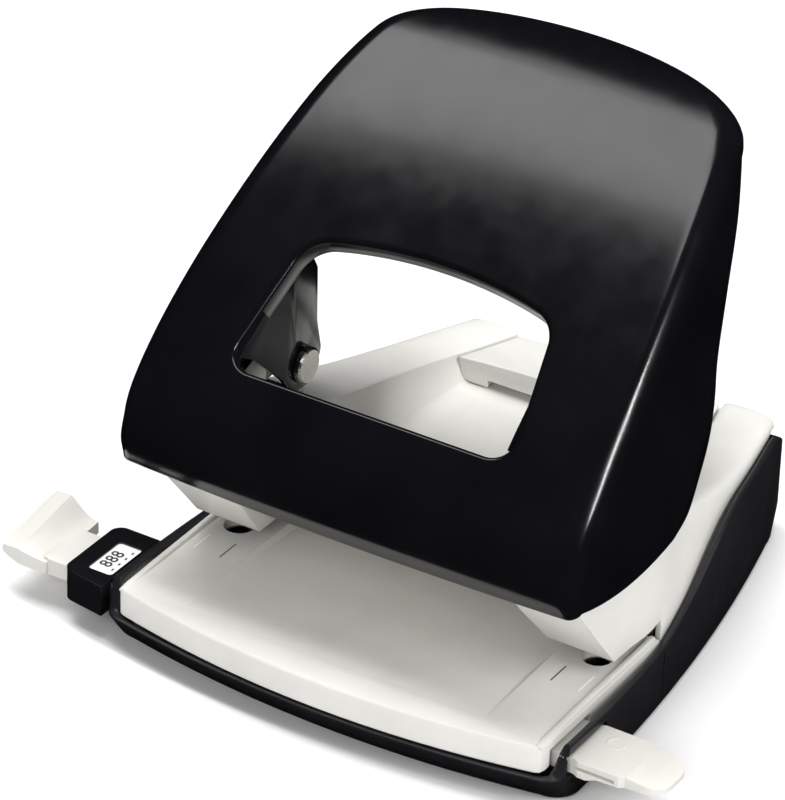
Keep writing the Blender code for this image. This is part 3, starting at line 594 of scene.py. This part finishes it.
def front_mouth():
    """Cutter for the arched opening between the two noses."""
    side_view = [(-60, 10), (11.5, 10), (11.5, 17.0), (-20.5, 36.3), (-60, 36.3)]
    front_view = [(-31.9, 5), (31.9, 5), (31.9, 17.5), (29.4, 36.35), (-29.4, 36.35), (-31.9, 17.5)]
    mouth = prism("cut", side_view, "X", -34, 34)
    arch = prism("arch", rounded(front_view, [0, 0, 0, 10.5, 10.5, 0], 12), "Y", -70, 20)
    return combine(mouth, [arch], "INTERSECT")


def make_housing():
    steps = 60
    rings = [housing_ring(k / steps) for k in range(steps + 1)]
    body = loft("body_housing", rings, LIGHT_GREY, "base", "body_grey")
    roof = [(STOP_Y + 3, 17.9), (-22.6, 37.2), (-24.0, 38.7), (-19.5, 38.7), (7.6, 21.9),
            (STOP_Y + 3, 21.2)]
    fuse(body, prism("hood", rounded(roof, [0, 0, 0, 3, 6, 0], 5), "X", -31.2, 31.2))
    slope = [(-40, 58), (-22.6, 38.6), (-5.2, SLOT_TOP), (-5.2, 0), (-40, 0)]
    front_slope = prism("cut", slope, "X", -60, 60)
    top_front = prism("cut", [(-60, 39.0), (-23.5, 39.0), (-10, 39.6), (-10, 60), (-60, 60)], "X", -60, 60)
    slot = box("cut", (-60, -60, 0), (60, STOP_Y, SLOT_TOP))
    carve(body, front_slope, top_front, slot)
    mouth = front_mouth()
    under = box("cut", (-28.3, STOP_Y + 2.0, 0), (28.3, 75.0, 19.6))
    carve(body, mouth, under)
    tower_well = [(-20.9, 38.0), (-20.9, 60), (14.2, 60), (14.2, 30), (-11.8, 30)]
    for side in (-1, 1):
        low_x, high_x = sorted((side * 33.4, side * 45.5))
        well = prism("cut", tower_well, "X", low_x, high_x)
        carve(body, well, arm_cavity(side))
    soften(body, 0.35, 2, 42)
    smooth(body, 40)
    attach(body, "housing")


DECK_CROWN = 1.2


def make_deck():
    rings = []
    for k in range(13):
        t = 0.79 + 0.2 * k / 12
        y, _, _, inner_x, inner_z = catmull(ARM_STATIONS, t)
        half = inner_x - 0.2 - GAP
        across = [1 - 2 * j / 16 for j in range(17)]
        top = [(half * u, y, inner_z - 0.3 + DECK_CROWN * (1 - u ** 2)) for u in across]
        rings.append([(half - 0.8, y, 21.8)] + top + [(-half + 0.8, y, 21.8)])
    deck = loft("rear_deck", rings, LIGHT_GREY, "base", "body_grey")
    carve(deck, box("cut", (-20, 40, 15), (20, 73.5, 23.4)))
    soften(deck, 0.7, 3)
    smooth(deck, 35)
    attach(deck, "center_deck")


# ---------------------------------------------------------------- lever

# Shoulder line of the lever (depth, height) from the lower front edge up to the top,
# the point of the side wall's free edge that lies behind it, and the half width
LEVER_STATIONS = [
    (-25.4, 39.2, 9.0, 37.6, 49.6),
    (-27.4, 45.0, 14.0, 40.6, 49.6),
    (-25.0, 53.0, 17.6, 46.8, 49.6),
    (-17.0, 62.0, 21.0, 53.6, 49.4),
    (-6.0, 71.2, 23.2, 60.5, 48.8),
    (6.2, 80.4, 25.8, 67.6, 47.5),
    (18.7, 89.2, 31.2, 77.8, 45.7),
    (31.2, 97.2, 38.2, 89.6, 43.3),
    (43.0, 103.4, 44.6, 98.8, 40.0),
    (50.5, 106.4, 51.5, 102.8, 36.0),
    (59.8, 107.5, 60.0, 104.0, 36.0),
]
# Depth of the edge turned down along the top
FLANGE = 3.6
# Elliptic top corner: station where it starts, its centre behind that, its depth
CORNER_T = 0.8
CORNER_BACK = 2.45
CORNER_DEEP = 18.9
# Window rim: radius of the rolled edge and depth of the collar
RIM_R = 0.95
COLLAR_DEEP = 4.3


def lever_frame(t):
    """Side-wall line, free edge, outward normal and half width at station t."""
    here = catmull(LEVER_STATIONS, t)
    ahead = catmull(LEVER_STATIONS, min(1.0, t + 0.01))
    behind = catmull(LEVER_STATIONS, max(0.0, t - 0.01))
    along = Vector((ahead[0] - behind[0], ahead[1] - behind[1])).normalized()
    normal = Vector((-along[1], along[0]))
    shoulder = Vector((here[0], here[1]))
    wall = shoulder - normal * (0.7 * EDGE_R)
    return wall, Vector((here[2], here[3])), normal, here[4]


def measure_line(steps=200):
    """Distance run along the face line at evenly spaced stations."""
    runs = [0.0]
    before = None
    for k in range(steps + 1):
        wall, _, normal, _ = lever_frame(k / steps)
        here = wall + normal * EDGE_R
        if before:
            runs.append(runs[-1] + (here - before).length)
        before = here
    return runs


LINE = measure_line()


def distance_at(t):
    place = min(max(t, 0.0), 1.0) * (len(LINE) - 1)
    k = min(int(place), len(LINE) - 2)
    return LINE[k] + (LINE[k + 1] - LINE[k]) * (place - k)


def station_at(distance):
    """Station reached after a distance; runs on past the last one."""
    last = len(LINE) - 1
    for k in range(last):
        if distance <= LINE[k + 1] or k == last - 1:
            return (k + (distance - LINE[k]) / (LINE[k + 1] - LINE[k])) / last


def crown(t):
    """Height of the face's middle above its edges."""
    return 0.5 + 0.9 * math.sin(math.pi * min(1.0, 0.15 + 0.8 * t))


def lever_point(t, x):
    """Point of the lever's outer face at station t and offset x, with its normal."""
    wall, _, normal, half = lever_frame(t)
    lift = EDGE_R + crown(t) * (1 - min(1.0, abs(x) / (half - EDGE_R)) ** 2)
    point = Vector((x, wall[0] + normal[0] * lift, wall[1] + normal[1] * lift))
    return point, Vector((0, normal[0], normal[1]))


def lever_place(x, distance, lift):
    """Point above the side-wall line at a distance run along the face."""
    wall, _, normal, _ = lever_frame(station_at(distance))
    return (x, wall[0] + normal[0] * lift, wall[1] + normal[1] * lift)


def lever_plan(side_rows, corner_rows):
    """Right half of the outline as (x, distance, share of the top corner)."""
    marks = []
    for k in range(side_rows):
        t = CORNER_T * k / side_rows
        marks.append((lever_frame(t)[3], distance_at(t), 0.0))
    start = math.asin(CORNER_BACK / CORNER_DEEP)
    wide = lever_frame(CORNER_T)[3] / math.cos(start)
    for k in range(corner_rows + 1):
        a = start + (math.pi / 2 - start) * k / corner_rows
        marks.append((wide * max(0.0, math.cos(a)) if k < corner_rows else 0.0,
                      distance_at(CORNER_T) - CORNER_BACK + CORNER_DEEP * math.sin(a), k / corner_rows))
    return marks


def lever_row(mark, out, face_steps, arc_steps, wall_steps):
    """Points from the middle of the face, round the edge and along the wall."""
    x, distance, share = mark
    t = station_at(distance)
    edge = EDGE_R - 2.6 * max(0.0, 1 - t / 0.14)
    in_x, in_run = x - out[0] * edge, distance - out[1] * edge
    rise = crown(station_at(in_run)) * math.cos(math.pi / 2 * share)
    points = []
    for k in range(face_steps):
        u = k / face_steps
        points.append(lever_place(in_x * u, in_run, EDGE_R + rise * (1 - u * u)))
    for k in range(arc_steps + 1):
        a = math.radians(90 * k / arc_steps)
        reach = edge * math.sin(a)
        points.append(lever_place(in_x + out[0] * reach, in_run + out[1] * reach,
                                  EDGE_R - edge + edge * math.cos(a)))
    start = Vector(points[-1][1:])
    wall, rear, _, _ = lever_frame(min(t, CORNER_T))
    if share > 0:
        down = (rear - wall) * (1 - share) - lever_frame(t)[2] * (FLANGE * share)
        rear = start + down
    sag = 2.2 * max(0.0, 1 - t * 4.4)
    for k in range(1, wall_steps + 1):
        u = k / wall_steps
        place = start.lerp(rear, u)
        points.append((points[-1][0], place[0], place[1] - sag * 4 * u * (1 - u)))
    return points


def lever_sheet(name, finish, side_rows, corner_rows, face_steps, arc_steps, wall_steps):
    """Outer skin of the lever as one open sheet."""
    marks = lever_plan(side_rows, corner_rows)
    points, faces = [], []
    for k, mark in enumerate(marks):
        ahead, behind = marks[min(k + 1, len(marks) - 1)], marks[max(k - 1, 0)]
        out = Vector((ahead[1] - behind[1], behind[0] - ahead[0])).normalized()
        if k == len(marks) - 1:
            out = Vector((0.0, 1.0))
        row = lever_row(mark, out, face_steps, arc_steps, wall_steps)
        points += [(-q[0], q[1], q[2]) for q in reversed(row[1:])] + row
    width = len(points) // len(marks)
    for r in range(len(marks) - 1):
        for k in range(width - 1):
            a = r * width + k
            faces.append((a, a + 1, a + width + 1, a + width))
    shell = mesh_object(name, points, faces, finish, "handle", "lever_black")
    if sum(f.normal.z * f.area for f in shell.data.polygons) < 0:
        shell.data.flip_normals()
    return shell


# Window: lower and upper edge as stations, half width there, millimetres per
# whole run of stations, and the arch of the upper edge
WINDOW_LOW = 0.2835
WINDOW_HIGH = 0.495
WINDOW_HALF_LOW = 30.6
WINDOW_HALF_HIGH = 26.4
STATION_MM = 142.2
ARCH = 3.2


def window_outline(grow=0.0, steps=12, arch_steps=18):
    """Window in (x, station): wide at the bottom, arched along the top."""
    top = WINDOW_HIGH * STATION_MM
    corners = [(WINDOW_HALF_LOW, WINDOW_LOW * STATION_MM), (WINDOW_HALF_HIGH, top - ARCH)]
    for k in range(arch_steps + 1):
        x = 19.6 * (1 - 2 * k / arch_steps)
        corners.append((x, top - ARCH * (x / WINDOW_HALF_HIGH) ** 2))
    corners += [(-WINDOW_HALF_HIGH, top - ARCH), (-WINDOW_HALF_LOW, WINDOW_LOW * STATION_MM)]
    ring = rounded(corners, [4.5, 6.5] + [0] * (arch_steps + 1) + [6.5, 4.5], steps)
    centre = Vector((0.0, (WINDOW_LOW + WINDOW_HIGH) / 2 * STATION_MM))
    result = []
    for k in range(len(ring)):
        before, after = Vector(ring[k - 1]), Vector(ring[(k + 1) % len(ring)])
        edge = (after - before).normalized()
        outward = Vector((edge[1], -edge[0]))
        if outward.dot(Vector(ring[k]) - centre) < 0:
            outward = -outward
        moved = Vector(ring[k]) + outward * grow
        result.append((moved[0], moved[1] / STATION_MM))
    return result


def window_ring(grow, depth):
    """Window outline grown sideways, at a depth below the lever's face."""
    ring = []
    for x, t in window_outline(grow):
        point, normal = lever_point(t, x)
        ring.append(tuple(point - normal * depth))
    return ring


def make_lever_sheet():
    shell = lever_sheet("lever_shell", ENAMEL, 88, 30, 18, 10, 10)
    step = shell.modifiers.new("sheet", "SOLIDIFY")
    step.thickness = SHEET * MM
    step.offset = -1.0
    step.use_even_offset = True
    bake(shell)
    soften(shell, 0.3, 2, 60)
    carve(shell, loft("cut", [window_ring(RIM_R, -4.0), window_ring(RIM_R, 3.2)]))
    smooth(shell, 40)
    attach(shell, "handle_shell")


def make_window_rim():
    """Rolled edge of the window: a quarter round, then a collar with a round end."""
    profile = [(1.25, 0.03), (RIM_R, 0.03)]
    for k in range(1, 7):
        a = math.radians(90 * k / 6)
        profile.append((RIM_R - RIM_R * math.sin(a), 0.03 + RIM_R * (1 - math.cos(a))))
    profile += [(0.0, COLLAR_DEEP)]
    for k in range(1, 5):
        a = math.radians(180 * k / 4)
        profile.append((0.6 - 0.6 * math.cos(a), COLLAR_DEEP + 0.3 * math.sin(a)))
    profile += [(1.25, 1.2)]
    rings = [window_ring(grow, depth) for grow, depth in profile]
    collar = loft("lever_window_rim", rings, ENAMEL, "handle", "lever_black", wrap=True)
    smooth(collar, 50)
    attach(collar)


def make_ears():
    root = []
    for k in range(7):
        point, normal = lever_point(0.4815 - 0.18 * k / 6, EAR_X)
        root.append(tuple((point - normal * 1.0)[1:]))
    lower = [(-12.0, 59.5), (-2.4, 50.3), (1.0, 45.8), (7.4, 45.8), (10.4, 51.5), (8.8, 58.3), (8.6, 70.0)]
    outline = rounded(lower + root, [1.5, 3, 3.5, 4, 3, 8, 1.5] + [0] * 7, 8)
    for side, word in ((-1, "left"), (1, "right")):
        low_x, high_x = sorted((side * (EAR_X - 0.7), side * (EAR_X + 0.7)))
        ear = prism("lever_ear_" + word, outline, "X", low_x, high_x, ENAMEL, "handle", "lever_black")
        carve(ear, rod("hole", "X", DRIVE, -36, 36, PIN_R + 0.08))
        soften(ear, 0.22, 2, 60)
        smooth(ear, 40)
        attach(ear)
        profile = [(side * 28.72, 3.0), (side * 28.2, 3.0)]
        neck = turned("drive_neck_" + word, "X", DRIVE, profile, DARK_STEEL, "handle", "pin_steel")
        smooth(neck)
        attach(neck)


def make_lever():
    make_lever_sheet()
    make_window_rim()
    make_ears()


# ---------------------------------------------------------------- guide

RAIL_HALF = 6.5
RAIL_LOW = RAIL_Y - RAIL_HALF
RAIL_HIGH = RAIL_Y + RAIL_HALF
RAIL_TOP = 10.0


def make_rail():
    outline = rounded([(-66.2, RAIL_LOW + 0.6), (50.8, RAIL_LOW + 0.6), (52.0, RAIL_LOW), (60.5, RAIL_LOW),
                       (61.5, RAIL_LOW + 0.7), (69.0, RAIL_LOW + 0.7), (69.0, RAIL_HIGH - 0.7),
                       (61.5, RAIL_HIGH - 0.7), (60.5, RAIL_HIGH), (50.6, RAIL_HIGH),
                       (49.4, RAIL_HIGH - 0.6), (-66.2, RAIL_HIGH - 0.6)],
                      [0, 0.5, 0.5, 0.3, 0.3, 4.0, 4.0, 0.3, 0.3, 0.5, 0.5, 0], 8)
    rail = prism("guide_bar", outline, "Z", 6.5, RAIL_TOP, GUIDE_GREY, "paper_guide", "body_grey")
    recess = box("cut", (-65.0, RAIL_LOW + 2.0, 9.4), (24.0, RAIL_HIGH - 2.0, 12))
    thin = prism("cut", [(52.5, 5), (70, 5), (70, 7.9), (56, 7.4), (53.5, 6.4)], "Y", -40, 0)
    slope = [(61.8, 9.85), (65.5, 9.6), (68.0, 9.1), (70.0, 8.6), (70.0, 12), (61.8, 12)]
    tip = prism("cut", slope, "Y", -40, 0)
    carve(rail, recess, thin, tip)
    for edge, sign in ((RAIL_LOW, 1), (RAIL_HIGH, -1)):
        a, b = sorted((edge - sign * 1.0, edge + sign * 0.75))
        carve(rail, box("cut", (50.0, a, 8.1), (59.6, b, 8.75)))
    soften(rail, 0.3, 3, 40)
    smooth(rail, 40)
    attach(rail, "guide_rail")
    profile = [(9.7, 2.05), (10.02, 2.05), (10.12, 1.85), (10.12, 1.5), (9.95, 1.3), (9.9, 0.0001)]
    button = turned("guide_button", "Z", (55.0, -18.6), profile, GUIDE_GREY, "paper_guide", "body_grey")
    smooth(button, 60)
    attach(button)
    strip = box("scale_band", (-64.6, RAIL_LOW + 2.4, 9.7), (23.6, RAIL_HIGH - 2.4, RAIL_TOP),
                WHITE_LABEL, "paper_guide", "scale_white")
    attach(strip, "scale_strip")


def stop_section(u):
    """Section of the guide's end stop, u from 0 in front to 1 at the back."""
    top = 10.15 + 3.2 * u
    under = 6.6 + 1.2 * u
    ramp = []
    for j in range(1, 7):
        w = j / 7
        ramp.append((-72.0 + 5.7 * w, 9.45 + (top - 9.5) * (1 - w) ** 1.8))
    section = [(-66.0, 6.7), (-70.2, 6.6), (-72.6, under), (-75.4, 7.7 + 0.7 * u), (-76.3, 8.3 + 1.0 * u),
               (-76.55, 9.1 + 1.9 * u), (-76.5, top - 0.45), (-76.1, top), (-72.5, top + 0.15),
               (-72.15, top - 0.1)] + ramp + [(-66.0, 9.45)]
    inset = 0.35 * max(0.0, 1 - 6 * u) + 0.35 * max(0.0, 6 * u - 5)
    middle_x, middle_z = -72.5, (6.6 + top) / 2
    return [(x + (middle_x - x) * inset * 0.08, z + (middle_z - z) * inset * 0.16) for x, z in section]


def make_stop():
    count = 16
    rings = []
    for k in range(count + 1):
        u = k / count
        y = RAIL_LOW + (RAIL_HIGH + 4.6 - RAIL_LOW) * u
        rings.append([(x, y, z) for x, z in stop_section(u)])
    stop = loft("guide_stop_block", rings, GUIDE_GREY, "paper_guide", "body_grey")
    smooth(stop, 32)
    attach(stop, "guide_stop")
    outline = rounded([(-67.4, -26.6), (-61.2, -26.6), (-61.2, -14.6), (-67.4, -14.6)], 0.5, 4)
    pad = prism("guide_pad", outline, "Z", 9.3, 10.05, GUIDE_GREY, "paper_guide", "body_grey")
    soften(pad, 0.25, 2, 40)
    smooth(pad, 40)
    attach(pad)


def make_scale_housing():
    low_y, high_y = RAIL_Y - 10.2, RAIL_Y + 9.6
    outline = rounded([(-60.6, low_y + 1.5), (-50.7, low_y), (-50.7, high_y), (-60.6, high_y)],
                      [2.5, 0, 0, 2.5], 8)
    pane = rounded([(-56.8, -26.9), (-51.4, -26.9), (-51.4, -16.1), (-56.8, -16.1)], 0.8, 6)
    body = prism("display_housing", outline, "Z", 4.9, 11.6, BLACK_GLOSS, "base", "body_black")
    tunnel = box("cut", (-70, RAIL_Y - 7.0, 5.9), (-40, RAIL_Y + 7.0, 10.6))
    carve(body, tunnel, prism("cut", pane, "Z", 8, 15))
    soften(body, 0.5, 4, 40)
    smooth(body, 40)
    attach(body, "scale_housing")
    attach(prism("display_plate", pane, "Z", 10.7, 11.25, WHITE_LABEL, "base", "body_black"))


def make_display_print():
    """Generic number and tick marks on the display plate."""
    curve = bpy.data.curves.new("display_digits", "FONT")
    curve.body = "888"
    curve.size = 3.7 * MM
    curve.align_x = "CENTER"
    curve.align_y = "CENTER"
    curve.extrude = 0.02 * MM
    curve.offset = 0.00003
    curve.space_character = 1.06
    digits = bpy.data.objects.new("display_digits", curve)
    bpy.context.collection.objects.link(digits)
    curve.materials.append(INK)
    digits.location = Vector((-54.7, -21.6, 11.27)) * MM
    digits.rotation_euler = Euler((0, 0, math.radians(90)))
    digits["planned_body"] = "base"
    digits["planned_slot"] = "body_black"
    attach(digits)
    for k in range(4):
        y = -25.0 + 2.25 * k
        outline = rounded([(-52.75, y), (-52.4, y), (-52.4, y + 0.75), (-52.75, y + 0.75)], 0.1, 2)
        attach(prism("display_tick_" + str(k + 1), outline, "Z", 11.2, 11.29, INK, "base", "body_black"))


# ---------------------------------------------------------------- carried-over pieces

def dress_carried_over():
    """Materials for the nodes that have no visual piece of their own."""
    looks = {
        "chassis": SHEET_STEEL,
        "bracket_screw": DARK_STEEL,
        "housing_screw": DARK_STEEL,
        "bracket": SHEET_STEEL,
        "die": PIN_STEEL,
        "detent": SPRING_STEEL,
        "return_spring": SPRING_STEEL,
        "spring_washer": PIN_STEEL,
        "handle_lug": DARK_STEEL,
        "fulcrum_pin": PIN_STEEL,
        "drive_pin": PIN_STEEL,
        "drive_clip": SPRING_STEEL,
        "punch_pin": PIN_STEEL,
        "crosshead": DARK_STEEL,
        "chip_tray": BLACK,
        "tray_hinge": PIN_STEEL,
        "grip_sole": SOLE,
    }
    for name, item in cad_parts.items():
        if item.hide_render:
            continue
        for key, material in looks.items():
            if name.startswith(key):
                item.data.materials.clear()
                item.data.materials.append(material)
                break


# ---------------------------------------------------------------- stage, light, camera

def make_stage():
    bpy.ops.mesh.primitive_plane_add(size=6.0, location=(0.0, 0.8, -0.0003))
    floor = bpy.context.object
    floor.name = "floor"
    s = Shader("floor_white", (0.86, 0.86, 0.865), 0.75, spec=0.1)
    s.vary_rough(3.0, 0.05)
    floor.data.materials.append(s.material)
    floor.visible_glossy = False
    world = bpy.data.worlds.new("studio")
    bpy.context.scene.world = world
    world.use_nodes = True
    back = world.node_tree.nodes["Background"]
    back.inputs["Color"].default_value = (1.0, 1.0, 1.0, 1.0)
    back.inputs["Strength"].default_value = 0.30
    world.cycles_visibility.glossy = False
    bpy.context.scene.view_settings.view_transform = "Standard"


def area(name, place, aim, size, power):
    """Rectangular studio light; places are metres."""
    light = bpy.data.lights.new(name, "AREA")
    light.energy = power
    light.shape = "RECTANGLE"
    light.size = size[0]
    light.size_y = size[1]
    item = bpy.data.objects.new(name, light)
    bpy.context.collection.objects.link(item)
    item.location = Vector(place)
    item.rotation_euler = (Vector(aim) - Vector(place)).to_track_quat("-Z", "Y").to_euler()
    return item


def make_lights():
    key = area("overhead", (-0.20, 0.20, 1.25), (0.0, 0.0, 0.05), (0.9, 0.8), 10.5)
    key.visible_glossy = False
    fill = area("front_fill", (0.2, -1.3, 0.9), (0.0, 0.0, 0.03), (1.0, 0.7), 8.5)
    fill.visible_glossy = False
    area("soft_panel", (-0.265, 0.06, 1.15), (0.03, 0.03, 0.09), (0.38, 1.04), 6.2)
    area("side_strip", (1.25, -0.15, 0.85), (0.0, 0.02, 0.06), (0.10, 0.9), 13.0)


def make_camera():
    """Long lens matched to the photograph: viewing direction, roll and place."""
    camera = bpy.data.cameras.new("camera")
    camera.sensor_width = 36.0
    camera.sensor_fit = "AUTO"
    camera.lens = 225.0
    camera.clip_start = 0.05
    camera.clip_end = 30.0
    item = bpy.data.objects.new("camera", camera)
    bpy.context.collection.objects.link(item)
    back = Vector((0.4450, -0.7318, 0.5163)).normalized()
    right = Vector((0.8544, 0.5196, 0.0)).normalized()
    up = back.cross(right)
    roll = math.radians(1.797)
    cam_x = right * math.cos(roll) + up * math.sin(roll)
    cam_y = up * math.cos(roll) - right * math.sin(roll)
    turn = Matrix((cam_x, cam_y, back)).transposed()
    item.rotation_euler = turn.to_euler()
    item.location = Vector((407.1, -679.8, 532.4)) * MM
    bpy.context.scene.camera = item


make_base()
make_plate()
make_housing()
make_deck()
make_lever()
make_rail()
make_stop()
make_scale_housing()
make_display_print()
dress_carried_over()
make_stage()
make_lights()
make_camera()
